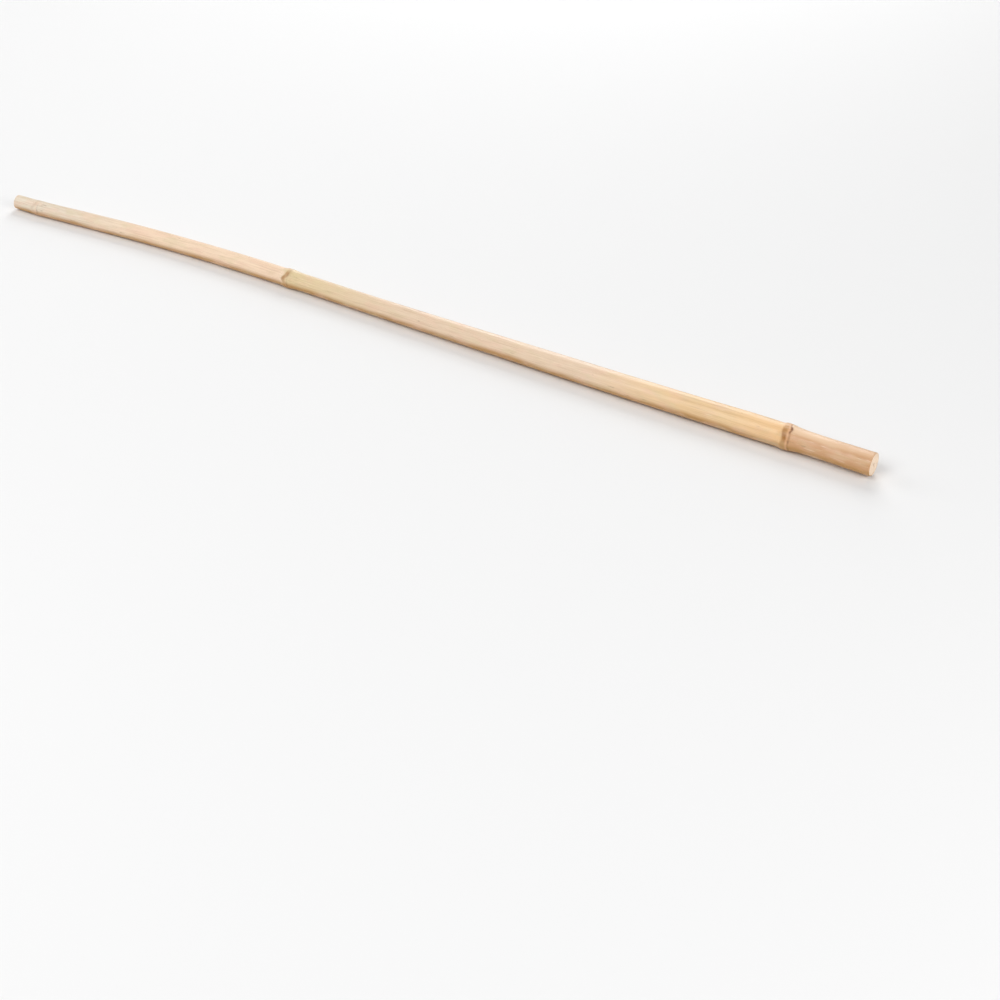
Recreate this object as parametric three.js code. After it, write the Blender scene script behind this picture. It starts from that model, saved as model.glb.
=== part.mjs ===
// Bamboo garden cane: one length of culm, sawn square at both ends and lying on its side.
// Millimetres. +X runs from the thin end to the thick end and +Z is up. The origin is the
// middle of the cane's footprint, on the surface that it lies on.

import * as THREE from 'three';

// Driving dimensions. A station is the distance from the sawn thick end.
const LENGTH = 610;
const SIDES = 24;             // flats round the cane, with one of them turned to the surface
const PLAIN_STEP = 12;        // between stations on the plain stretches

// Girth of the plain cane, without its node rings.
const GIRTH_STATIONS = [0, 27, 38, 60, 100, 180, 260, 315, 365, 410, 450, 545, LENGTH];
const GIRTH_DIAMETERS = [
  13.4, 12.85, 13.05, 14.1, 13.7, 13.1, 12.0, 11.4, 11.1, 11.2, 10.9, 10.3, 9.4,
];

// Sideways sway of the centre line, towards +Y. The cane was never straightened.
const SWAY_STATIONS = [0, 51, 130, 250, 320, 390, 445, 500, 560, 588, LENGTH];
const SWAY_OFFSETS = [0, 1.3, 1.7, 3.6, 5.0, 7.0, 7.6, 6.3, 2.5, 0.4, 0];

// Node rings. The ridge is a soft swelling. The sheath scar is a thin lip on its thick-end
// side, where the leaf sheath came away.
const NODES = [
  { station: 50.7, ridge: 0.7, scar: 0.1 },
  { station: 389.2, ridge: 0.55, scar: 0.06 },
  { station: 590.5, ridge: 0.22, scar: 0.02 },
];
const RIDGE_REACH_THICK_SIDE = 5;
const RIDGE_REACH_THIN_SIDE = 1.6;
const RIDGE_CROWN = 0.8;      // half the width of the level top of a ridge
const SCAR_OFFSET = 3.4;      // from the ridge towards the thick end
const SCAR_REACH = 0.55;
const NODE_STEPS = [-11, -8.5, -6.5, -5, -4, -3.4, -2.8, -2, 1.5, 2.3, 3.4, 5];
const NODE_CLEARANCE = 12;    // no even step comes closer to a node than this
const ROUNDING = 0.01;        // mesh positions are 32-bit numbers

// Pith holes, open at the sawn ends and closed by the first node inside.
const THICK_END_PITH = { radius: 0.9, depth: 46 };
const THIN_END_PITH = { radius: 0.6, depth: 17 };

function smoothCurve(stations, values) {
  const curve = new THREE.CubicInterpolant(stations, values, 1);
  return (station) => curve.evaluate(station)[0];
}

function bell(distance, reach) {
  return Math.exp(-((distance / reach) ** 2));
}

// How far a node stands proud of the plain cane. The distance is positive towards the thin end.
function nodeHeight(node, station) {
  const distance = station - node.station;
  const slope = Math.max(0, Math.abs(distance) - RIDGE_CROWN);
  const reach = distance < 0 ? RIDGE_REACH_THICK_SIDE : RIDGE_REACH_THIN_SIDE;
  return node.ridge * bell(slope, reach) + node.scar * bell(distance + SCAR_OFFSET, SCAR_REACH);
}

const plainDiameter = smoothCurve(GIRTH_STATIONS, GIRTH_DIAMETERS);
const sway = smoothCurve(SWAY_STATIONS, SWAY_OFFSETS);

// A station on a ridge's crown counts as the middle of that ridge, so the crown is level.
function levelled(station) {
  const reach = RIDGE_CROWN + ROUNDING;
  const node = NODES.find((each) => Math.abs(station - each.station) < reach);
  return node ? node.station : station;
}

function skinRadius(station) {
  const level = levelled(station);
  const heights = NODES.map((node) => nodeHeight(node, level));
  return plainDiameter(level) / 2 + Math.max(...heights);
}

// The centre line's height. The cane lies on its node ridges, so the line joins the three
// ridge radii and runs straight on past the outer two.
function centreHeight(station) {
  const last = NODES.length - 1;
  const pair = station < NODES[1].station ? [0, 1] : [last - 1, last];
  const [near, far] = pair.map((index) => NODES[index].station);
  const share = (levelled(station) - near) / (far - near);
  return THREE.MathUtils.lerp(skinRadius(near), skinRadius(far), share);
}

// Stations where the outline changes: even steps on the plain stretches, close ones at nodes.
function skinStations() {
  const stations = [0, LENGTH];
  const steps = [...NODE_STEPS, -RIDGE_CROWN, RIDGE_CROWN];
  for (let station = PLAIN_STEP; station < LENGTH - PLAIN_STEP / 2; station += PLAIN_STEP) {
    if (NODES.every((node) => Math.abs(station - node.station) > NODE_CLEARANCE)) {
      stations.push(station);
    }
  }
  for (const node of NODES) {
    stations.push(...steps.map((step) => node.station + step));
  }
  return stations.sort((a, b) => a - b);
}

// The lathe profile runs from the floor of one pith hole, over the skin, to the other's.
// The lathe turns about its Y axis, so a profile point is (radius, distance along the cane).
function caneProfile() {
  const flatToCorner = 1 / Math.cos(Math.PI / SIDES);
  const point = (radius, station) => new THREE.Vector2(radius * flatToCorner, LENGTH / 2 - station);
  const thinHoleFloor = LENGTH - THIN_END_PITH.depth;
  const skin = skinStations().reverse();
  return [
    new THREE.Vector2(0, LENGTH / 2 - thinHoleFloor),
    point(THIN_END_PITH.radius, thinHoleFloor),
    point(THIN_END_PITH.radius, LENGTH),
    ...skin.map((station) => point(skinRadius(station), station)),
    point(THICK_END_PITH.radius, 0),
    point(THICK_END_PITH.radius, THICK_END_PITH.depth),
    new THREE.Vector2(0, LENGTH / 2 - THICK_END_PITH.depth),
  ];
}

// Moves every cross-section of a straight cane onto the swaying, tapering centre line.
function layOnSurface(geometry) {
  const position = geometry.attributes.position;
  for (let i = 0; i < position.count; i += 1) {
    const station = LENGTH / 2 - position.getX(i);
    position.setY(i, position.getY(i) + sway(station));
    position.setZ(i, position.getZ(i) + centreHeight(station));
  }
  geometry.computeBoundingBox();
  const middle = geometry.boundingBox.getCenter(new THREE.Vector3());
  geometry.translate(-middle.x, -middle.y, -geometry.boundingBox.min.z);
  geometry.computeVertexNormals();
}

function bambooCane() {
  const geometry = new THREE.LatheGeometry(caneProfile(), SIDES, Math.PI / SIDES);
  geometry.rotateZ(-Math.PI / 2);
  layOnSurface(geometry);
  const material = new THREE.MeshStandardMaterial({
    color: 0xe3cda6,
    roughness: 0.48,
    metalness: 0,
  });
  const mesh = new THREE.Mesh(geometry, material);
  mesh.name = 'bamboo_cane';
  return mesh;
}

const cane = new THREE.Group();
cane.name = 'cane';
cane.add(bambooCane());

export default cane;
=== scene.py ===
"""Bamboo cane: the fine visual model of one natural garden cane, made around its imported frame."""

import math
import random
from bisect import bisect_right

import bmesh
import bpy
from bpy.props import FloatProperty, FloatVectorProperty, IntProperty, PointerProperty
from mathutils import Matrix, Vector, noise


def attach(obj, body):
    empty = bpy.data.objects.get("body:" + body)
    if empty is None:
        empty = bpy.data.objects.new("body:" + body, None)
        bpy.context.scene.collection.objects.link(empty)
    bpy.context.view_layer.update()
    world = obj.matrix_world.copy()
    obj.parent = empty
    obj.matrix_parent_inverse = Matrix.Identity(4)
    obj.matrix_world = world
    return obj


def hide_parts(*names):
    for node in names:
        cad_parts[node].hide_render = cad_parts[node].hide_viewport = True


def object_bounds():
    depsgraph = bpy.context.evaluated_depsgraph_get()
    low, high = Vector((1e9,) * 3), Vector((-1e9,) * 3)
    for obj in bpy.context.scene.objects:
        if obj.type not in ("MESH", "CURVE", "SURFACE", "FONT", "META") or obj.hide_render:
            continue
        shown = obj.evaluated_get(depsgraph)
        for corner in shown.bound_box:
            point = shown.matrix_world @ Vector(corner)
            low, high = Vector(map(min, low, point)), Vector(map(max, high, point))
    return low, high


bl_info = {
    "name": "Bamboo cane",
    "version": (1, 0, 0),
    "blender": (4, 5, 0),
    "location": "3D View > Sidebar > Bamboo",
    "description": "Grows the skin, nodes and sawn ends of a garden cane on its frame",
    "category": "Add Mesh",
}

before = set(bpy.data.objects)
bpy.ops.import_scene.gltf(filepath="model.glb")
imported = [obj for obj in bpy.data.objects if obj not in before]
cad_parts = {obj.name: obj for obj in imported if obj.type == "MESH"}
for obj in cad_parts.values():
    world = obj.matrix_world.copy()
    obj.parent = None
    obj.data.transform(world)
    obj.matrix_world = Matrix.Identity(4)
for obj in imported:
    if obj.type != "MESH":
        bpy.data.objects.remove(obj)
CAD_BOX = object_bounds()
CANE = "bamboo_cane"

MM = 0.001
TURN = 2 * math.pi
NODE_MARKS = 14 * MM  # a node's ridge, grooves and stains stay within this distance of it
LENGTH = CAD_BOX[1][0] - CAD_BOX[0][0]

# Each node of the culm. "station" is that of its ridge, measured from the sawn thick end, and
# "scar_at" is how far its sheath scar lies from the ridge towards that end. "bud" is an angle
# round the cane in degrees: 0 is up and 90 faces -Y. "stain_at" is the stain's distance from the
# ridge, positive towards the thin end, and "stain_bow" how far it bows that way on the -Y side.
# "dip" is how far the scar runs up towards the ridge beside the bud, and "bloom"
# how far the pale wax bloom, painted brightest along the top as a highlight, reaches past the
# scar. The others are strengths.
NODES = (
    {"station": 50.7 * MM, "scar_at": 3.4 * MM, "bud": 13, "dip": 1.5 * MM, "groove": 0.17 * MM,
     "scar": 1.0, "crown": 1.0, "bloom": 90 * MM, "stain": 1.0, "stain_at": -0.1 * MM,
     "stain_half": 0.5 * MM, "stain_bow": -0.8 * MM},
    {"station": 389.2 * MM, "scar_at": 2.2 * MM, "bud": 100, "dip": 0, "groove": 0.08 * MM,
     "scar": 0.42, "crown": 0.3, "bloom": 0, "stain": 0.75, "stain_at": -1.7 * MM,
     "stain_half": 0.5 * MM, "stain_bow": 2.3 * MM},
    {"station": 590.5 * MM, "scar_at": 1.9 * MM, "bud": 86, "dip": 0, "groove": 0.05 * MM,
     "scar": 0.32, "crown": 0.3, "bloom": 0, "stain": 0.24, "stain_at": 0.2 * MM,
     "stain_half": 0.1 * MM, "stain_bow": 2.2 * MM},
)


def srgb(red, green, blue):
    """A colour as a paint chart gives it, 0 to 255, as the linear values a shader takes."""
    def linear(value):
        value /= 255
        return value / 12.92 if value <= 0.04045 else ((value + 0.055) / 1.055) ** 2.4
    return linear(red), linear(green), linear(blue)


def colour(name, description, default):
    return FloatVectorProperty(
        name=name, description=description, default=default, subtype="COLOR", min=0, max=1)


def length(name, description, default):
    return FloatProperty(
        name=name, description=description, default=default, unit="LENGTH", precision=5)


def power(name, description, default):
    return FloatProperty(name=name, description=description, default=default, unit="POWER")


# Settings


class CaneSizes(bpy.types.PropertyGroup):
    """Sizes of the culm's surface. Its length, girth and sway come from the frame."""

    cells: IntProperty(
        name="Face cells", description="Cells from the middle of a sawn face to its rim",
        default=20, min=6, max=40)
    plain_step: length("Plain step", "Between rings on the plain stretches", 3 * MM)
    node_step: length("Node step", "Between rings at a node", 0.22 * MM)
    node_reach: length("Node reach", "Close rings reach this far from a node", 5.5 * MM)
    rim_step: length("Rim step", "Between the first rings at a sawn rim", 0.07 * MM)
    pith_thick: length("Thick-end pith", "Radius of the pith hole in the thick end", 0.9 * MM)
    pith_thin: length("Thin-end pith", "Radius of the pith hole in the thin end", 0.6 * MM)
    pith_thick_depth: length("Thick-end pith depth", "Depth of the thick end's hole", 46 * MM)
    pith_thin_depth: length("Thin-end pith depth", "Depth of the thin end's hole", 17 * MM)
    rim_wear: length("Rim wear", "How far the sawn rim is rounded off", 0.28 * MM)
    chip: length("Rim chip", "Depth of the torn chip on the thick end's lower rim", 0.7 * MM)
    thin_slant: length("Thin-end slant", "How far the thin end's saw cut leans", 1.2 * MM)
    flute: length("Flutes", "Depth of the long shallow flutes in the skin", 0.07 * MM)
    oval: FloatProperty(
        name="Ovality", description="Share of the girth that the culm is out of round",
        default=0.012, min=0, max=0.1)


class CaneColours(bpy.types.PropertyGroup):
    """Colours of the culm."""

    butt_skin: colour("Thick-end skin", "Pinkish tan below the first node", srgb(202, 151, 106))
    gold_skin: colour("Gold skin", "Warm gold just above the first node", srgb(243, 199, 147))
    straw_skin: colour("Straw skin", "Straw of the long stretch", srgb(238, 204, 157))
    pink_skin: colour("Pink skin", "Pale pinkish cream of the middle", srgb(233, 208, 181))
    green_skin: colour("Green skin", "Grey-green straw under the second node", srgb(228, 206, 163))
    cream_skin: colour("Cream skin", "Warm cream above the second node", srgb(248, 221, 193))
    tip_skin: colour("Thin-end skin", "Greyish cream of the thin end", srgb(233, 220, 200))
    # Painted shade: the golden brown blended into the lower side of the skin, so that it darkens
    # and warms towards the underside.
    underside_shade_and_gold_tint: colour("Underside shade", "Golden brown of the side that faces down", srgb(186, 134, 62))
    rosy: colour("Rosy patches", "Soft pinkish clouding", srgb(238, 196, 172))
    olive: colour("Olive patches", "Soft grey-green clouding", srgb(214, 200, 156))
    streak: colour("Streaks", "Long brownish streaks along the grain", srgb(178, 140, 100))
    scuff: colour("Scuffs", "Fine pale rubs from handling", srgb(255, 236, 208))
    # Pale wax bloom under a node, and a painted highlight where it lies along the top of the thick
    # end.
    bloom: colour("Bloom and highlight", "Wax that stays on the skin under a node", srgb(240, 208, 174))
    stain: colour("Stain", "Brown stain on a node ridge", srgb(160, 106, 48))
    crown: colour("Crown", "Rubbed rim beside a sheath scar", srgb(238, 186, 146))
    scar: colour("Scar", "Dark line of the sheath scar", srgb(120, 76, 50))
    fleck: colour("Flecks", "Small weathered flecks", srgb(150, 114, 80))
    sawn: colour("Sawn face", "Fresh cut culm wood", srgb(247, 223, 198))
    rind: colour("Rind", "Denser rind round a sawn face", srgb(236, 204, 168))
    pore: colour("Pores", "Ends of the fibre bundles", srgb(196, 156, 114))
    pith: colour("Pith", "Brown lining of the pith hole", srgb(112, 80, 52))


class StageSettings(bpy.types.PropertyGroup):
    """Floor, lights and camera."""

    floor: colour("Floor", "Plain pale floor", (0.86, 0.86, 0.86))
    sky: FloatProperty(name="Sky", description="Strength of the even light", default=0.2)
    front_power: power("Front light", "Power of the softbox in front", 10)
    back_power: power("Back light", "Power of the softbox behind", 8.6)
    low_power: power("Low back light", "Power of the low softbox behind", 5.6)
    right_power: power("Right light", "Power of the softbox past the thick end", 9)
    left_power: power("Left light", "Power of the softbox past the thin end", 5.6)
    light_size: length("Softbox size", "Side of each softbox", 0.8)
    camera_place: FloatVectorProperty(
        name="Camera", description="Place of the camera", subtype="TRANSLATION", unit="LENGTH",
        default=(0.5646, -0.8019, 0.5567))
    camera_azimuth: FloatProperty(
        name="Azimuth", description="Turn of the camera from the +Y direction",
        default=math.radians(31.58), unit="ROTATION")
    camera_pitch: FloatProperty(
        name="Pitch", description="How far the camera looks down", default=math.radians(35),
        unit="ROTATION")
    view_angle: FloatProperty(
        name="View angle", description="Width of the camera's view", default=math.radians(30),
        unit="ROTATION")


# The frame's outline


def smooth_curve(places, values):
    """A smooth function through the values, its slope at each place that of its neighbours."""
    last = len(places) - 1
    slopes = []
    for i in range(last + 1):
        low, high = max(i - 1, 0), min(i + 1, last)
        slopes.append((values[high] - values[low]) / (places[high] - places[low]))

    def curve(place):
        i = min(max(bisect_right(places, place) - 1, 0), last - 1)
        width = places[i + 1] - places[i]
        t = min(max((place - places[i]) / width, 0), 1)
        rise = values[i + 1] - values[i]
        start, end = slopes[i] * width - rise, rise - slopes[i + 1] * width
        return values[i] + rise * t + t * (1 - t) * (start * (1 - t) + end * t)
    return curve


class Outline:
    """The cane's centre line and radius along its length, read from the rings of its CAD node."""

    def __init__(self, cad):
        rings = {}
        for vertex in cad.data.vertices:
            station = CAD_BOX[1][0] - vertex.co.x
            rings.setdefault(round(station, 5), []).append(vertex.co)
        rows = []
        for station, points in sorted(rings.items()):
            lows = [min(p[axis] for p in points) for axis in (1, 2)]
            highs = [max(p[axis] for p in points) for axis in (1, 2)]
            radius = (highs[1] - lows[1]) / 2
            if radius > 2 * MM:  # narrower rings are the floors of the pith holes
                rows.append((station, (lows[0] + highs[0]) / 2, (lows[1] + highs[1]) / 2, radius))
        stations, sways, heights, radii = zip(*rows)
        self.sway = smooth_curve(stations, sways)
        self.height = smooth_curve(stations, heights)
        self.radius = smooth_curve(stations, radii)

    def lay(self, straight):
        """A point of the straight cane (station, Y, Z), moved to its place on the real one."""
        station = straight[0]
        return Vector((
            CAD_BOX[1][0] - station,
            straight[1] + self.sway(station),
            straight[2] + self.height(station)))


OUTLINE = Outline(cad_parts[CANE])


# Relief of the skin

CHIP_ANGLE = math.radians(150)  # the side of the thick end's torn chip
SLANT_ANGLE = math.radians(50)  # the side on which the thin end is shortest
SLANT_REACH = 12 * MM           # the lean of the thin end's cut is spread over this length


def bell(distance, reach):
    """1 at no distance, falling smoothly to nearly 0 at twice the reach."""
    return math.exp(-((distance / reach) ** 2))


def ease(value):
    """0 to 1, smoothly, as value goes from 0 to 1."""
    value = min(max(value, 0), 1)
    return value * value * (3 - 2 * value)


def round_noise(angle, turns, station, seed):
    """Smooth noise round the cane that joins up with itself. Turns sets how fine it is."""
    return noise.noise(Vector((turns * math.sin(angle), turns * math.cos(angle), station + seed)))


def angle_gap(angle, other):
    """The turn between two angles, from -half a turn to half a turn."""
    return (angle - other + math.pi) % TURN - math.pi


def nearest_node(station):
    """The node whose ridge is closest to the station."""
    return min(NODES, key=lambda node: abs(node["station"] - station))


def node_wander(node, angle):
    """How far a node's rings wander along the cane at this angle: no ring is quite flat."""
    return 0.25 * MM * round_noise(angle, 1.7, 0, node["station"] * 90)


def node_place(station, angle):
    """The node nearest to a skin point, and the point's distance from its ridge."""
    node = nearest_node(station)
    distance = station - node["station"]
    if abs(distance) > NODE_MARKS:
        return node, distance
    near = 1 - ease(abs(distance) / (7 * MM) - 0.4)
    return node, distance - near * node_wander(node, angle)


def scar_line(node, angle):
    """Distance of the sheath scar from the ridge. The torn edge is ragged."""
    ragged = 0.16 * round_noise(angle, 7, 0, node["station"] * 40)
    ragged += 0.07 * round_noise(angle, 24, 0, node["station"] * 70)
    dip = node["dip"] * bell(angle_gap(angle, math.radians(node["bud"] - 25)), 0.38)
    return ragged * MM + dip - node["scar_at"]


def skin_radius(sizes, station, angle):
    """Radius of the culm's skin, which is never larger than the frame's."""
    node, distance = node_place(station, angle)
    radius = OUTLINE.radius(min(max(node["station"] + distance, 0), LENGTH))
    radius *= 1 - sizes.oval * (0.5 - 0.5 * math.cos(2 * (angle - 0.7)))
    radius -= sizes.flute * (0.5 + 0.5 * round_noise(angle, 2.6, station * 7, 3))
    radius -= 0.02 * MM * (0.5 + 0.5 * round_noise(angle, 9, station * 16, 8))
    if abs(distance) < NODE_MARKS:
        radius -= node_relief(node, distance, angle)
    radius -= bud_relief(node, distance, angle, radius)
    radius -= rim_relief(sizes, station, angle)
    return radius


def node_relief(node, distance, angle):
    """Depth of the grooves each side of the sheath scar and of the ridge's fine pitting."""
    line = distance - scar_line(node, angle)
    strength = 0.65 + 0.5 * round_noise(angle, 3.2, 0, node["station"] * 55)
    hollow = 0.7 * node["groove"] * strength * bell(line - 0.8 * MM, 0.4 * MM)
    torn = 0.5 + round_noise(angle, 12, 0, node["station"] * 77)
    undercut = node["groove"] * (strength + max(torn, 0)) * bell(line + 0.35 * MM, 0.28 * MM)
    pitting = 0.05 * MM * bell(distance, 2.6 * MM) * abs(round_noise(angle, 14, distance * 900, 5))
    return hollow + undercut + pitting


def bud_relief(node, distance, angle, radius):
    """The hollow a rubbed-off bud leaves on the ridge, and the long flat that it pressed."""
    across = angle_gap(angle, math.radians(node["bud"])) * radius
    along = distance + 0.7 * MM
    hollow = 0.22 * MM * bell(math.hypot(along / 1.5, across), 0.75 * MM)
    lip = 0.06 * MM * bell(math.hypot(along / 1.6, across) - 1.5 * MM, 0.35 * MM)
    flat = 0.10 * MM * bell(across, 2.2 * MM) * ease((distance - 1 * MM) / (5 * MM))
    flat *= 1 - ease((distance - 20 * MM) / (70 * MM))
    return max(hollow - lip, 0) + flat


def rim_relief(sizes, station, angle):
    """How far the skin is rounded and chipped at a sawn rim."""
    gap = min(station, LENGTH - station)
    side = 0 if station < LENGTH / 2 else 11
    wear = sizes.rim_wear * (0.6 + 0.9 * abs(round_noise(angle, 5, 0, side)))
    relief = wear * max(1 - gap / (1.3 * wear), 0) ** 2.2
    if station < LENGTH / 2:
        torn = bell(angle_gap(angle, CHIP_ANGLE), 0.30)
        reach = 1.3 * MM * torn + 1e-6
        relief += sizes.chip * torn * max(1 - gap / reach, 0) ** 1.5
    return relief


# Marks, kept as attributes of the skin

MARKS = ("scar", "stain", "crown", "bloom", "pore")
STAIN_ANGLE = math.radians(48)
STAIN_BOW_ANGLE = math.radians(72)
# The side, nearly straight up, where the bloom's painted highlight is brightest.
TOP_HIGHLIGHT_ANGLE = math.radians(2)


def scar_mark(node, distance, angle):
    """Darkness of the torn sheath line. It is broken, and heaviest beside the bud."""
    line = distance - scar_line(node, angle) + 0.3 * MM
    broken = 0.26 + 0.5 * round_noise(angle, 4.5, 0, node["station"] * 33)
    bud = math.radians(node["bud"])
    tick = bell(angle_gap(angle, bud), 0.20)
    second = bell(angle_gap(angle, bud + 0.40), 0.12)
    reach = (0.50 + 0.24 * tick + 0.10 * second) * MM
    shifted = line - 0.4 * MM * second + 0.3 * MM * bell(angle_gap(angle, bud + 0.16), 0.14)
    return min(max(broken, 0.10) + 0.8 * tick + 0.45 * second, 1) * bell(shifted, reach)


def stain_mark(node, distance, angle):
    """The soft stain over a ridge, darkest on the upper side that faces -Y."""
    side = bell(angle_gap(angle, STAIN_ANGLE), 0.62)
    centre = node["stain_at"] + node["stain_bow"] * bell(angle_gap(angle, STAIN_BOW_ANGLE), 0.4)
    gap = max(abs(distance - centre) - node["stain_half"], 0)
    edge = (0.85 if distance > centre else 1.35) * MM
    cloud = 0.95 + 0.35 * round_noise(angle, 3.4, distance * 260, node["station"] * 34)
    return min((0.27 + 0.73 * side) * cloud * bell(gap, edge), 1)


def crown_mark(node, distance, angle):
    """The pale, rubbed rim between a ridge and its sheath scar."""
    rubbed = 0.85 + 0.4 * round_noise(angle, 3.5, 0, node["station"] * 61)
    return rubbed * bell(distance - scar_line(node, angle) - 0.85 * MM, 0.5 * MM)


def bloom_and_highlight_mark(node, distance, angle):
    """Pale wax bloom on the thick-end side of the sheath scar, painted brightest on the upper skin
    as a highlight.
    """
    below = scar_line(node, angle) - distance
    # Painted highlight: the bloom is strongest along the top of the cane and faint below.
    upper = 1 - ease(abs(angle_gap(angle, TOP_HIGHLIGHT_ANGLE)) / 0.38 - 1.0)
    cloud = 0.85 + 0.4 * round_noise(angle, 2.2, distance * 60, node["station"] * 13)
    reach = ease(below / (0.8 * MM)) * (1 - ease(below / node["bloom"]))
    return min(max(cloud, 0), 1) * (0.1 + 0.9 * upper) * reach


def skin_marks(station, angle):
    """The strength of each mark at a point of the skin."""
    node, distance = node_place(station, angle)
    marks = dict.fromkeys(MARKS, 0)
    if node["bloom"] and distance < 0:
        marks["bloom"] = bloom_and_highlight_mark(node, distance, angle)
    if abs(distance) < NODE_MARKS:
        marks["scar"] = node["scar"] * scar_mark(node, distance, angle)
        marks["stain"] = node["stain"] * stain_mark(node, distance, angle)
        marks["crown"] = node["crown"] * crown_mark(node, distance, angle)
    return marks


# Building the culm. It is first made as a straight cane of unit radius, so that a vertex is
# (station, Y, Z), and then shaped.


def ring_stations(sizes):
    """Stations of the culm's rings: close together at its nodes and its sawn ends."""
    stations = [0.0]
    while stations[-1] < LENGTH - sizes.plain_step:
        station = stations[-1]
        gap = abs(nearest_node(station + sizes.node_step)["station"] - station)
        spread = ease((gap - sizes.node_reach) / (8 * MM))
        step = sizes.node_step + spread * (sizes.plain_step - sizes.node_step)
        end_gap = min(station, LENGTH - station)
        stations.append(station + min(step, sizes.rim_step + 0.35 * end_gap))
    while LENGTH - stations[-1] > sizes.rim_step:
        left = LENGTH - stations[-1]
        stations.append(stations[-1] + max(0.3 * left, 0.6 * sizes.rim_step))
    stations[-1] = LENGTH
    return stations


def extrude_ring(bm, edges, shift):
    """Draws a ring of edges out along the cane. Returns the new ring's vertices and edges."""
    grown = bmesh.ops.extrude_edge_only(bm, edges=edges)["geom"]
    verts = [item for item in grown if isinstance(item, bmesh.types.BMVert)]
    fresh = set(verts)
    edges = [
        item for item in grown
        if isinstance(item, bmesh.types.BMEdge) and fresh.issuperset(item.verts)]
    bmesh.ops.translate(bm, verts=verts, vec=(shift, 0, 0))
    return verts, edges


def unit_tube(bm, stations, segments):
    """An open tube through the stations, in an empty mesh. Returns its two end rings."""
    across = Matrix.Rotation(math.pi / 2, 4, "Y")
    verts = bmesh.ops.create_circle(bm, segments=segments, radius=1, matrix=across)["verts"]
    for vert in verts:
        vert.co.x = 0
    first = verts
    edges = list(bm.edges)
    for station, following in zip(stations, stations[1:]):
        verts, edges = extrude_ring(bm, edges, following - station)
    return first, verts


def unit_face(bm, station, cells, rim, pith_cells):
    """A sawn face of even cells, joined to the rim, with its middle left out for the pith hole.
    A square grid is drawn out ring by ring until each of its squares is a circle."""
    verts = bmesh.ops.create_grid(bm, x_segments=2 * cells, y_segments=2 * cells, size=1)["verts"]
    faces = list({face for vert in verts for face in vert.link_faces})
    middle = [
        face for face in faces
        if max(abs(value) for value in face.calc_center_median()[:2]) < pith_cells / cells]
    bmesh.ops.delete(bm, geom=middle, context="FACES")
    verts = [vert for vert in verts if vert.is_valid]
    for vert in verts:
        across, up = vert.co.x, vert.co.y
        ring = max(abs(across), abs(up))
        if abs(across) >= abs(up):
            angle = math.pi / 4 * up / across + (math.pi if across < 0 else 0)
        else:
            angle = math.pi / 2 - math.pi / 4 * across / up + (math.pi if up < 0 else 0)
        vert.co = (station, ring * math.cos(angle), ring * math.sin(angle))
    hole = [
        edge for edge in {edge for vert in verts for edge in vert.link_edges}
        if edge.is_boundary and edge.verts[0].co.yz.length < 0.5]
    edge_verts = [vert for vert in verts if vert.co.yz.length > 1 - 0.5 / cells]
    bmesh.ops.remove_doubles(bm, verts=rim + edge_verts, dist=0.002)
    return hole


def unit_pith(bm, hole, depth):
    """The pith hole's wall and floor. Depth is negative in the thin end."""
    last = 0
    for share in (0.01, 0.03, 0.08, 0.2, 0.45, 1):
        _, hole = extrude_ring(bm, hole, (share - last) * depth)
        last = share
    bmesh.ops.contextual_create(bm, geom=hole)


def open_pores(bm, faces, marks, cells):
    """Sinks the ends of some fibre bundles into a sawn face, most of them near its rim."""
    chance = random.Random(7)
    chosen, taken = [], set()
    for face in faces:
        ring = face.calc_center_median().yz.length
        likely = 0.03 + 0.14 * ease((ring - 0.35) / 0.5)
        inside = 0.24 < ring < 1 - 1.2 / cells
        if inside and chance.random() < likely and taken.isdisjoint(face.verts):
            chosen.append(face)
            taken.update(face.verts)
    bmesh.ops.inset_individual(
        bm, faces=chosen, thickness=0.26 / cells, depth=-0.12 * MM, use_even_offset=True)
    for face in chosen:
        for vert in face.verts:
            vert[marks["pore"]] = 1


def shape_culm(bm, sizes, marks, straight, pith_cells):
    """Gives the unit cane its real girth, relief and marks, and lays it along the frame."""
    inner = pith_cells / sizes.cells
    for vert in bm.verts:
        station = vert.co.x
        ring = vert.co.yz.length
        angle = math.atan2(-vert.co.y, vert.co.z)
        radius = skin_radius(sizes, station, angle)
        if ring < 0.999:
            thick = station < LENGTH / 2
            pith = sizes.pith_thick if thick else sizes.pith_thin
            pith *= 1 + 0.1 * round_noise(angle, 1.6, station * 90, 4)
            radius = pith + (ring - inner) / (1 - inner) * (radius - pith)
            station += saw_mark(angle, radius) * (1 if thick else -1)
        else:
            for name, value in skin_marks(station, angle).items():
                vert[marks[name]] = value
        station -= saw_slant(sizes, station, angle, radius)
        place = Vector((station, -radius * math.sin(angle), radius * math.cos(angle)))
        vert[straight] = place
        vert.co = OUTLINE.lay(place)


def saw_slant(sizes, station, angle, radius):
    """How much shorter the thin end is at this point, because its saw cut leans."""
    share = 1 - (LENGTH - station) / SLANT_REACH
    if share <= 0:
        return 0
    side = radius / OUTLINE.radius(LENGTH) * math.cos(angle - SLANT_ANGLE)
    return sizes.thin_slant * share * 0.5 * (1 + min(side, 1))


def saw_mark(angle, radius):
    """Depth of the blade's scores across a sawn face."""
    across = radius * math.sin(angle + 0.5)
    up = radius * math.cos(angle + 0.5)
    score = noise.noise(Vector((across * 2600, up * 160, 2)))
    swell = noise.noise(Vector((across * 260, up * 260, 9)))
    return 0.04 * MM * (1 + score) + 0.05 * MM * (1 + swell)


def put_in_order(items, key):
    """Numbers the items by the key, so that every run gives the same mesh."""
    rank = {item: place for place, item in enumerate(sorted(items, key=key))}
    items.sort(key=rank.get)
    items.index_update()


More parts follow.
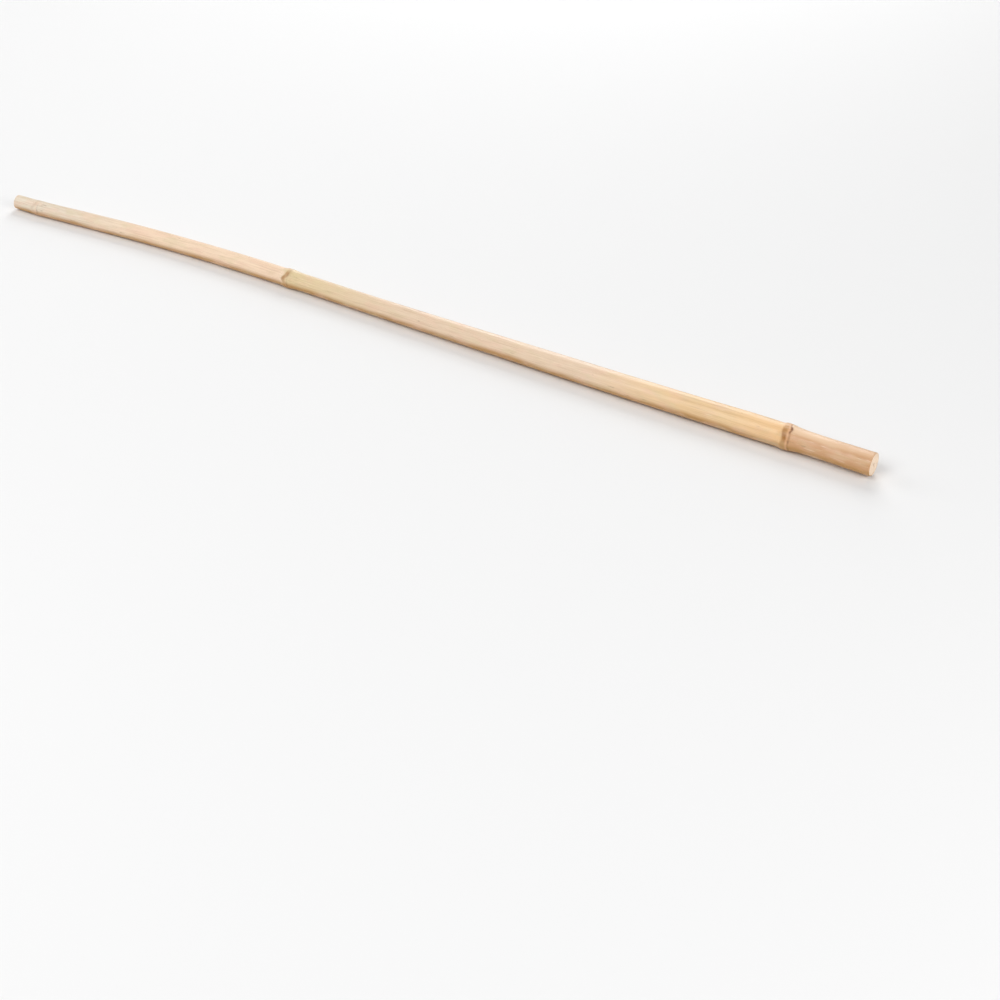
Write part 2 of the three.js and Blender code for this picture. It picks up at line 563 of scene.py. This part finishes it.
def new_piece(bm, name, materials):
    """A finished mesh as an object that stands for part of the cane."""
    put_in_order(bm.verts, lambda vert: vert.co[:])
    for items in (bm.edges, bm.faces):
        put_in_order(items, lambda item: sorted(vert.index for vert in item.verts))
    mesh = bpy.data.meshes.new(name)
    bm.to_mesh(mesh)
    bm.free()
    for material in materials:
        mesh.materials.append(material)
    piece = bpy.data.objects.new(name, mesh)
    bpy.context.scene.collection.objects.link(piece)
    return piece


def culm(sizes, colours):
    """The whole culm as one closed mesh, with skin and sawn faces in a material each."""
    bm = bmesh.new()
    marks = {name: bm.verts.layers.float.new(name) for name in MARKS}
    straight = bm.verts.layers.float_vector.new("straight")
    pith_cells = round(0.15 * sizes.cells)
    thick_rim, thin_rim = unit_tube(bm, ring_stations(sizes), 8 * sizes.cells)
    skin_faces = set(bm.faces)
    thick_hole = unit_face(bm, 0, sizes.cells, thick_rim, pith_cells)
    thin_hole = unit_face(bm, LENGTH, sizes.cells, thin_rim, pith_cells)
    sawn_faces = [face for face in bm.faces if face not in skin_faces]
    unit_pith(bm, thick_hole, sizes.pith_thick_depth)
    unit_pith(bm, thin_hole, -sizes.pith_thin_depth)
    bmesh.ops.recalc_face_normals(bm, faces=bm.faces)
    open_pores(bm, sawn_faces, marks, sizes.cells)
    for face in bm.faces:
        face.smooth = True
        face.material_index = 0 if face in skin_faces else 1
    shape_culm(bm, sizes, marks, straight, pith_cells)
    bmesh.ops.recalc_face_normals(bm, faces=bm.faces)
    return new_piece(bm, "culm", [skin_material(colours), sawn_material(colours)])


# Loose fibres

FRINGE_FIBRES = 64    # round a scar of full strength
BURR_FIBRES = 18      # at each sawn end


def fibre(bm, straight, root, angle, size, lean, twist):
    """One stiff fibre: a thin five-sided cone that starts at the root, a point (station, radius)
    of the straight cane at the angle, and leans out from the skin as it runs along it."""
    station, radius = root
    run, thickness = size
    made = bmesh.ops.create_cone(
        bm, cap_ends=True, cap_tris=True, segments=5, radius1=thickness / 2,
        radius2=thickness / 9, depth=abs(run))["verts"]
    bmesh.ops.translate(bm, verts=made, vec=(0, 0, abs(run) / 2))
    turn = math.pi / 2 if run > 0 else -math.pi / 2
    bmesh.ops.rotate(bm, verts=made, cent=(0, 0, 0), matrix=Matrix.Rotation(twist, 3, "X"))
    bmesh.ops.rotate(bm, verts=made, cent=(0, 0, 0), matrix=Matrix.Rotation(turn, 3, "Y"))
    for vert in made:
        share = abs(vert.co.x / run)
        out = radius + vert.co.z + lean * share * share
        around = angle + (vert.co.y + twist * vert.co.x) / radius
        place = Vector((station + vert.co.x, -out * math.sin(around), out * math.cos(around)))
        vert[straight] = place
        vert.co = OUTLINE.lay(place)


def sheath_fringe(sizes, colours):
    """Stubs of the leaf sheath's fibres, still on the scars that aren't rubbed smooth."""
    chance = random.Random(21)
    bm = bmesh.new()
    straight = bm.verts.layers.float_vector.new("straight")
    for node in NODES:
        count = round(FRINGE_FIBRES * max(2 * node["scar"] - 1, 0))
        for i in range(count):
            angle = TURN * (i + chance.uniform(-0.4, 0.4)) / count
            if abs(angle_gap(angle, math.pi)) < 0.7:
                continue
            line = scar_line(node, angle) + node_wander(node, angle)
            station = node["station"] + line - chance.uniform(0, 0.2) * MM
            radius = skin_radius(sizes, station, angle) - 0.03 * MM
            size = (chance.uniform(0.35, 1.1) * MM, chance.uniform(0.07, 0.16) * MM)
            lean = chance.uniform(0.02, 0.10) * MM
            fibre(bm, straight, (station, radius), angle, size, lean, chance.uniform(-0.25, 0.25))
    bmesh.ops.recalc_face_normals(bm, faces=bm.faces)
    return new_piece(bm, "sheath_fringe", [fibre_material("sheath_fibre", colours.scar)])


def saw_burr(sizes, colours):
    """Short fibres that the saw tore loose, lying back along the rim of each sawn end."""
    chance = random.Random(5)
    bm = bmesh.new()
    straight = bm.verts.layers.float_vector.new("straight")
    for end, direction in ((0, 1), (LENGTH, -1)):
        for _ in range(BURR_FIBRES):
            angle = chance.uniform(0, TURN)
            run = chance.uniform(0.2, 0.6) * MM
            start = chance.uniform(0.9, 1.5) * MM
            station = end + direction * start
            radius = skin_radius(sizes, station, angle) - 0.04 * MM
            size = (-direction * min(run, start - 0.1 * MM), chance.uniform(0.05, 0.10) * MM)
            lean = chance.uniform(0.0, 0.16) * MM
            fibre(bm, straight, (station, radius), angle, size, lean, chance.uniform(-0.2, 0.2))
    bmesh.ops.recalc_face_normals(bm, faces=bm.faces)
    return new_piece(bm, "saw_burr", [fibre_material("torn_fibre", colours.sawn)])


# Materials


class Graph:
    """One material's node tree, with short ways to add what the cane's materials need."""

    def __init__(self, name):
        self.material = bpy.data.materials.new(name)
        self.material.use_nodes = True
        self.tree = self.material.node_tree
        self.tree.nodes.clear()
        output = self.tree.nodes.new("ShaderNodeOutputMaterial")
        self.shader = self.tree.nodes.new("ShaderNodeBsdfPrincipled")
        self.tree.links.new(self.shader.outputs[0], output.inputs[0])

    def add(self, kind, inputs, **settings):
        """A node with its settings and inputs. An input is a value or another node's socket."""
        node = self.tree.nodes.new(kind)
        for name, value in settings.items():
            setattr(node, name, value)
        for name, value in inputs.items():
            self.feed(node.inputs[name], value)
        return node

    def feed(self, socket, value):
        if isinstance(value, bpy.types.NodeSocket):
            self.tree.links.new(value, socket)
        elif socket.type == "RGBA" and len(value) == 3:
            socket.default_value = (*value, 1)
        else:
            socket.default_value = value

    def attribute(self, name, output="Fac"):
        return self.add("ShaderNodeAttribute", {}, attribute_name=name).outputs[output]

    def math(self, operation, first, second, third=0.0, clamp=False):
        inputs = {0: first, 1: second, 2: third}
        return self.add("ShaderNodeMath", inputs, operation=operation, use_clamp=clamp).outputs[0]

    def blend(self, factor, first, second, mode="MIX"):
        inputs = {0: factor, 6: first, 7: second}
        node = self.add("ShaderNodeMix", inputs, data_type="RGBA", blend_type=mode)
        return node.outputs[2]

    def spread(self, value, low, high, to_low=0.0, to_high=1.0):
        inputs = {0: value, 1: low, 2: high, 3: to_low, 4: to_high}
        return self.add("ShaderNodeMapRange", inputs, interpolation_type="SMOOTHSTEP").outputs[0]

    def noise(self, place, scale, stretch=(1, 1, 1), detail=2.0, roughness=0.5, turn=(0, 0, 0)):
        """Noise over a place that is first turned, and stretched, as grain is, along the cane."""
        inputs = {"Vector": place, "Rotation": turn, "Scale": stretch}
        mapping = self.add("ShaderNodeMapping", inputs)
        inputs = {
            "Vector": mapping.outputs[0], "Scale": scale, "Detail": detail,
            "Roughness": roughness}
        return self.add("ShaderNodeTexNoise", inputs).outputs["Fac"]

    def bump(self, height, distance, strength=1.0, normal=None):
        inputs = {"Height": height, "Distance": distance, "Strength": strength}
        if normal:
            inputs["Normal"] = normal
        return self.add("ShaderNodeBump", inputs).outputs[0]


GRAIN = (0.02, 1, 1)  # the grain is fifty times as long as it is wide


def internode_tints(colours):
    """Colour stops along the skin, as shares of the cane's length from the thick end."""
    first, second, third = (node["station"] / LENGTH for node in NODES)
    return (
        (0.0, colours.butt_skin),
        (first - 0.006, colours.butt_skin),
        (first, colours.gold_skin),
        (0.135, colours.straw_skin),
        (0.19, colours.straw_skin),
        (0.28, colours.pink_skin),
        (0.50, colours.pink_skin),
        (second - 0.02, colours.green_skin),
        (second - 0.002, colours.green_skin),
        (second + 0.004, colours.cream_skin),
        (0.82, colours.cream_skin),
        (third - 0.03, colours.tip_skin),
        (1.0, colours.tip_skin),
    )


def skin_tint(graph, place, colours):
    """The colour of each stretch of skin, before any marks."""
    station = graph.add("ShaderNodeSeparateXYZ", {0: place}).outputs[0]
    share = graph.math("DIVIDE", station, LENGTH)
    ramp = graph.add("ShaderNodeValToRGB", {0: share})
    stops = ramp.color_ramp.elements
    tints = internode_tints(colours)
    while len(stops) < len(tints):
        stops.new(1)
    for stop, (position, tint) in zip(stops, tints):
        stop.position = position
        stop.color = (*tint, 1)
    return ramp.outputs[0]


def skin_material(colours):
    """Waxy cane skin: tinted stretches, long grain, flecks and the marks of the nodes, with
    painted shade on the lower side and a painted highlight along the top of the thick end.
    """
    graph = Graph("cane_skin")
    place = graph.attribute("straight", "Vector")
    grain = graph.noise(place, 1250, GRAIN, 4, 0.62, turn=(-0.28, 0, 0))
    fine_grain = graph.noise(place, 3200, GRAIN, 3, 0.6)
    fibres = graph.noise(place, 6500, (0.008, 1, 1), 2, 0.6)
    clouds = graph.noise(place, 60, (0.35, 1, 1), 3, 0.5)
    flecks = graph.noise(place, 700, (0.16, 1, 1), 2, 0.5)
    patches = graph.noise(place, 130, (0.3, 1, 1), 2, 0.5)
    rosy = graph.noise(place, 170, (0.42, 1, 1), 2, 0.45)
    olive = graph.noise(place, 210, (0.36, 1, 1), 2, 0.45)
    rubs = graph.noise(place, 1300, (0.09, 1, 1), 2, 0.5, turn=(0, 0.3, 0))

    tint = skin_tint(graph, place, colours)
    # Painted shade: below a wavering line the skin is blended to golden brown, so its lower side is
    # darker and warmer.
    up = graph.add("ShaderNodeSeparateXYZ", {0: place}).outputs[2]
    wavering = graph.math("MULTIPLY_ADD", clouds, 4 * MM, up)
    painted_underside_shade = graph.spread(wavering, 3.4 * MM, -0.5 * MM, 0.0, 0.92)
    tint = graph.blend(painted_underside_shade, tint, colours.underside_shade_and_gold_tint)
    # Soft gold clouding, at random over the whole skin.
    underside_shade_and_gold_tint = graph.spread(clouds, 0.50, 0.75, 0.0, 0.12)
    tint = graph.blend(underside_shade_and_gold_tint, tint, colours.gold_skin)
    tint = graph.blend(graph.spread(rosy, 0.46, 0.68, 0.0, 0.3), tint, colours.rosy)
    tint = graph.blend(graph.spread(olive, 0.50, 0.72, 0.0, 0.3), tint, colours.olive)
    streak = graph.spread(grain, 0.50, 0.78, 0.0, 0.38)
    tint = graph.blend(streak, tint, colours.streak)
    pale = graph.spread(fine_grain, 0.48, 0.25, 0.0, 0.25)
    tint = graph.blend(pale, tint, colours.bloom)
    tint = graph.blend(graph.spread(fibres, 0.48, 0.70, 0.0, 0.36), tint, colours.streak)
    weathered = graph.math("MULTIPLY", graph.spread(flecks, 0.66, 0.74, 0.0, 0.55),
                           graph.spread(patches, 0.45, 0.62))
    tint = graph.blend(weathered, tint, colours.fleck)
    rubbed = graph.math("MULTIPLY", graph.spread(rubs, 0.61, 0.75, 0.0, 0.36),
                        graph.spread(rosy, 0.38, 0.55))
    tint = graph.blend(rubbed, tint, colours.scuff)

    # Pale wax bloom under the first node, painted brightest along the top as a highlight.
    tint = graph.blend(graph.attribute("bloom"), tint, colours.bloom)
    cloudy = graph.spread(patches, 0.25, 0.6, 0.78, 1.0)
    stain = graph.math("MULTIPLY", graph.attribute("stain"), cloudy)
    tint = graph.blend(stain, tint, colours.stain)
    tint = graph.blend(graph.math("MULTIPLY", graph.attribute("crown"), 0.6), tint, colours.crown)
    scar = graph.math("MULTIPLY", graph.attribute("scar"), graph.spread(grain, 0.2, 0.5, 0.6, 1.0))
    tint = graph.blend(scar, tint, colours.scar)

    roughness = graph.spread(grain, 0.25, 0.75, 0.34, 0.50)
    roughness = graph.math("ADD", roughness, graph.math("MULTIPLY", scar, 0.3), clamp=True)
    normal = graph.bump(patches, 0.03 * MM, 0.5)
    normal = graph.bump(grain, 0.03 * MM, 0.6, normal)
    normal = graph.bump(fine_grain, 0.012 * MM, 0.5, normal)
    normal = graph.bump(fibres, 0.006 * MM, 0.5, normal)
    shader = graph.shader
    graph.feed(shader.inputs["Base Color"], tint)
    graph.feed(shader.inputs["Roughness"], roughness)
    graph.feed(shader.inputs["Normal"], normal)
    shader.inputs["Specular IOR Level"].default_value = 0.32
    shader.inputs["Coat Weight"].default_value = 0.16
    shader.inputs["Coat Roughness"].default_value = 0.24
    return graph.material


def sawn_material(colours):
    """Sawn culm wood: a dense rind, then paler wood with the dark ends of its fibre bundles."""
    graph = Graph("sawn_culm")
    place = graph.attribute("straight", "Vector")
    flat = graph.add("ShaderNodeMapping", {"Vector": place, "Scale": (0, 1, 1)}).outputs[0]
    radius = graph.add("ShaderNodeVectorMath", {0: flat}, operation="LENGTH").outputs["Value"]
    crowding = graph.spread(radius, 1 * MM, 6.5 * MM, 0.75, 1.3)
    crowded = graph.add("ShaderNodeVectorMath", {0: flat, 3: crowding}, operation="SCALE")
    voronoi = graph.add("ShaderNodeTexVoronoi", {"Vector": crowded.outputs[0], "Scale": 1700})
    cells = voronoi.outputs["Distance"]
    uneven = graph.spread(graph.noise(flat, 1100, detail=1), 0.35, 0.6, 0.15, 1.0)
    bundles = graph.math("MULTIPLY", graph.spread(cells, 0.34, 0.10), uneven)
    mottle = graph.noise(flat, 500, detail=3)
    depth = graph.add("ShaderNodeSeparateXYZ", {0: place}).outputs[0]

    tint = graph.blend(graph.spread(radius, 5.2 * MM, 6.6 * MM, 0, 0.7), colours.sawn, colours.rind)
    tint = graph.blend(graph.spread(mottle, 0.45, 0.7, 0, 0.3), tint, colours.rind)
    tint = graph.blend(graph.math("MULTIPLY", bundles, 0.55), tint, colours.pore)
    tint = graph.blend(graph.math("MULTIPLY", graph.attribute("pore"), 0.6), tint, colours.pore)
    from_end = graph.math("MINIMUM", depth, graph.math("SUBTRACT", LENGTH, depth))
    inside = graph.spread(from_end, 0.25 * MM, 1.5 * MM)
    tint = graph.blend(inside, tint, colours.pith)

    scores = graph.noise(place, 2600, (1, 1, 0.08), 2, 0.5)
    normal = graph.bump(scores, 0.05 * MM, 0.6)
    normal = graph.bump(bundles, -0.05 * MM, 0.6, normal)
    shader = graph.shader
    graph.feed(shader.inputs["Base Color"], tint)
    graph.feed(shader.inputs["Normal"], normal)
    shader.inputs["Roughness"].default_value = 0.85
    return graph.material


def fibre_material(name, tint):
    """Dry fibre, in lighter and darker strands."""
    graph = Graph(name)
    strands = graph.noise(graph.attribute("straight", "Vector"), 1500, (0.2, 1, 1), 2)
    pale = graph.blend(0.45, tint, (0.9, 0.78, 0.6))
    graph.feed(graph.shader.inputs["Base Color"],
               graph.blend(graph.spread(strands, 0.3, 0.7), tint, pale))
    graph.shader.inputs["Roughness"].default_value = 0.8
    return graph.material


# Stage

FLOOR_REACH = 6  # metres from the middle of the floor to its edges
SOFTBOXES = (    # name, place and power setting
    ("front_light", (-0.2, -1.04, 1.08), "front_power"),
    ("back_light", (-0.3, 1.06, 1.06), "back_power"),
    ("low_back_light", (-0.6, 1.39, 0.56), "low_power"),
    ("right_light", (1.3, -0.3, 0.7), "right_power"),
    ("left_light", (-1.3, -0.3, 0.7), "left_power"),
)


def stage(settings):
    """The floor, the even sky, the softboxes and the camera."""
    bm = bmesh.new()
    bmesh.ops.create_grid(bm, x_segments=1, y_segments=1, size=FLOOR_REACH)
    graph = Graph("pale_floor")
    graph.shader.inputs["Roughness"].default_value = 0.9
    graph.shader.inputs["Specular IOR Level"].default_value = 0.2
    graph.feed(graph.shader.inputs["Base Color"], tuple(settings.floor))
    floor = new_piece(bm, "floor", [graph.material])

    world = bpy.data.worlds.new("soft_sky")
    world.use_nodes = True
    sky = world.node_tree.nodes["Background"]
    sky.inputs["Color"].default_value = (1, 1, 1, 1)
    sky.inputs["Strength"].default_value = settings.sky
    bpy.context.scene.world = world
    bpy.context.scene.view_settings.view_transform = "Standard"

    for name, place, power_name in SOFTBOXES:
        softbox(name, place, settings.light_size, getattr(settings, power_name))

    camera = bpy.data.cameras.new("camera")
    camera.angle = settings.view_angle
    view = bpy.data.objects.new("camera", camera)
    view.location = settings.camera_place
    view.rotation_euler = (math.pi / 2 - settings.camera_pitch, 0, settings.camera_azimuth)
    bpy.context.scene.collection.objects.link(view)
    bpy.context.scene.camera = view


def softbox(name, place, size, power):
    """A square area light that faces the middle of the cane."""
    light = bpy.data.lights.new(name, "AREA")
    light.size = size
    light.energy = power
    lamp = bpy.data.objects.new(name, light)
    lamp.location = place
    lamp.rotation_euler = (-Vector(place)).to_track_quat("-Z", "Y").to_euler()
    bpy.context.scene.collection.objects.link(lamp)


# Operators and panel


def finish_piece(piece):
    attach(piece, "root")


class BAMBOO_OT_culm(bpy.types.Operator):
    """Build the culm: its skin, node rings, scars, sawn faces and pith holes"""

    bl_idname = "bamboo.culm"
    bl_label = "Culm"

    def execute(self, context):
        piece = culm(context.scene.cane_sizes, context.scene.cane_colours)
        finish_piece(piece)
        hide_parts(CANE)
        return {"FINISHED"}


class BAMBOO_OT_loose_fibres(bpy.types.Operator):
    """Add the sheath's fibre stubs at the nodes and the torn fibres at the sawn ends"""

    bl_idname = "bamboo.loose_fibres"
    bl_label = "Loose fibres"

    def execute(self, context):
        sizes, colours = context.scene.cane_sizes, context.scene.cane_colours
        for make in (sheath_fringe, saw_burr):
            finish_piece(make(sizes, colours))
        return {"FINISHED"}


class BAMBOO_OT_stage(bpy.types.Operator):
    """Set up the pale floor, the soft lights and the camera"""

    bl_idname = "bamboo.stage"
    bl_label = "Stage"

    def execute(self, context):
        stage(context.scene.cane_stage)
        return {"FINISHED"}


class BAMBOO_PT_cane(bpy.types.Panel):
    """Lists the cane's pieces and settings"""

    bl_idname = "BAMBOO_PT_cane"
    bl_label = "Bamboo cane"
    bl_space_type = "VIEW_3D"
    bl_region_type = "UI"
    bl_category = "Bamboo"

    def draw(self, context):
        scene = context.scene
        for operator in OPERATORS:
            self.layout.operator(operator.bl_idname)
        for group in (scene.cane_sizes, scene.cane_colours, scene.cane_stage):
            box = self.layout.box()
            for name in group.__annotations__:
                box.prop(group, name)


OPERATORS = (BAMBOO_OT_culm, BAMBOO_OT_loose_fibres, BAMBOO_OT_stage)
CLASSES = (CaneSizes, CaneColours, StageSettings, *OPERATORS, BAMBOO_PT_cane)


def register():
    for each in CLASSES:
        bpy.utils.register_class(each)
    bpy.types.Scene.cane_sizes = PointerProperty(type=CaneSizes)
    bpy.types.Scene.cane_colours = PointerProperty(type=CaneColours)
    bpy.types.Scene.cane_stage = PointerProperty(type=StageSettings)


def unregister():
    del bpy.types.Scene.cane_stage
    del bpy.types.Scene.cane_colours
    del bpy.types.Scene.cane_sizes
    for each in reversed(CLASSES):
        bpy.utils.unregister_class(each)


def main():
    register()
    bpy.ops.bamboo.culm()
    bpy.ops.bamboo.loose_fibres()
    bpy.ops.bamboo.stage()


if __name__ == "__main__":
    main()
